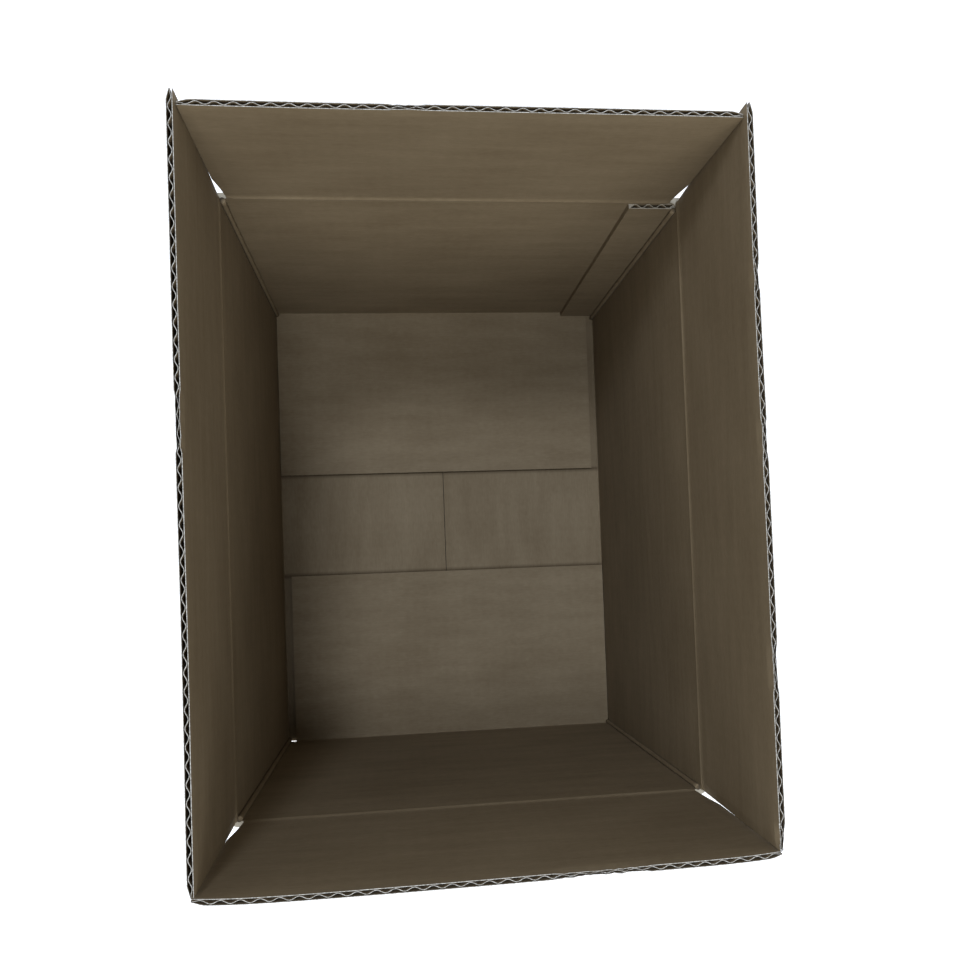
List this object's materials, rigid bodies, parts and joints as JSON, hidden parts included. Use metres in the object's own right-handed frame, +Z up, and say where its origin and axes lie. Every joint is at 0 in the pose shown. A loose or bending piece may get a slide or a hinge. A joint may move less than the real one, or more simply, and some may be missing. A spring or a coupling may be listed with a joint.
{
  "type": "open cardboard box",
  "caption": "Open shipping box of single wall corrugated board, with closed and taped bottom flaps and hinged top flaps that stand up.",
  "frame": {"origin": "middle of the base, on the underside of the tape that closes the bottom", "axes": "+Z up through the open top, +Y to the back wall, X across the box between the long walls"},
  "size_m": [0.2202, 0.2924, 0.3459],
  "materials": {
    "board": "matt unbleached kraft",
    "tape": "smooth film"
  },
  "bodies": {
    "box": {"box_body": "board", "bottom_tape": "tape"},
    "left": {"flap_left": "board"},
    "right": {"flap_right": "board"},
    "back": {"flap_back": "board"},
    "front": {"flap_front": "board"}
  },
  "joints": [
    {"name": "left_fold", "type": "hinge", "parent": "box", "child": "left", "pos_m": [-0.1102, 0, 0.2363], "axis": [0, 1, 0], "range_deg": [-175.25, 88.75]},
    {"name": "right_fold", "type": "hinge", "parent": "box", "child": "right", "pos_m": [0.1102, 0, 0.2363], "axis": [0, -1, 0], "range_deg": [-175.25, 88.75]},
    {"name": "back_fold", "type": "hinge", "parent": "box", "child": "back", "pos_m": [0, 0.1447, 0.2335], "axis": [1, 0, 0], "range_deg": [-174, 90]},
    {"name": "front_fold", "type": "hinge", "parent": "box", "child": "front", "pos_m": [0, -0.1447, 0.2335], "axis": [-1, 0, 0], "range_deg": [-172.4, 91.6]}
  ]
}
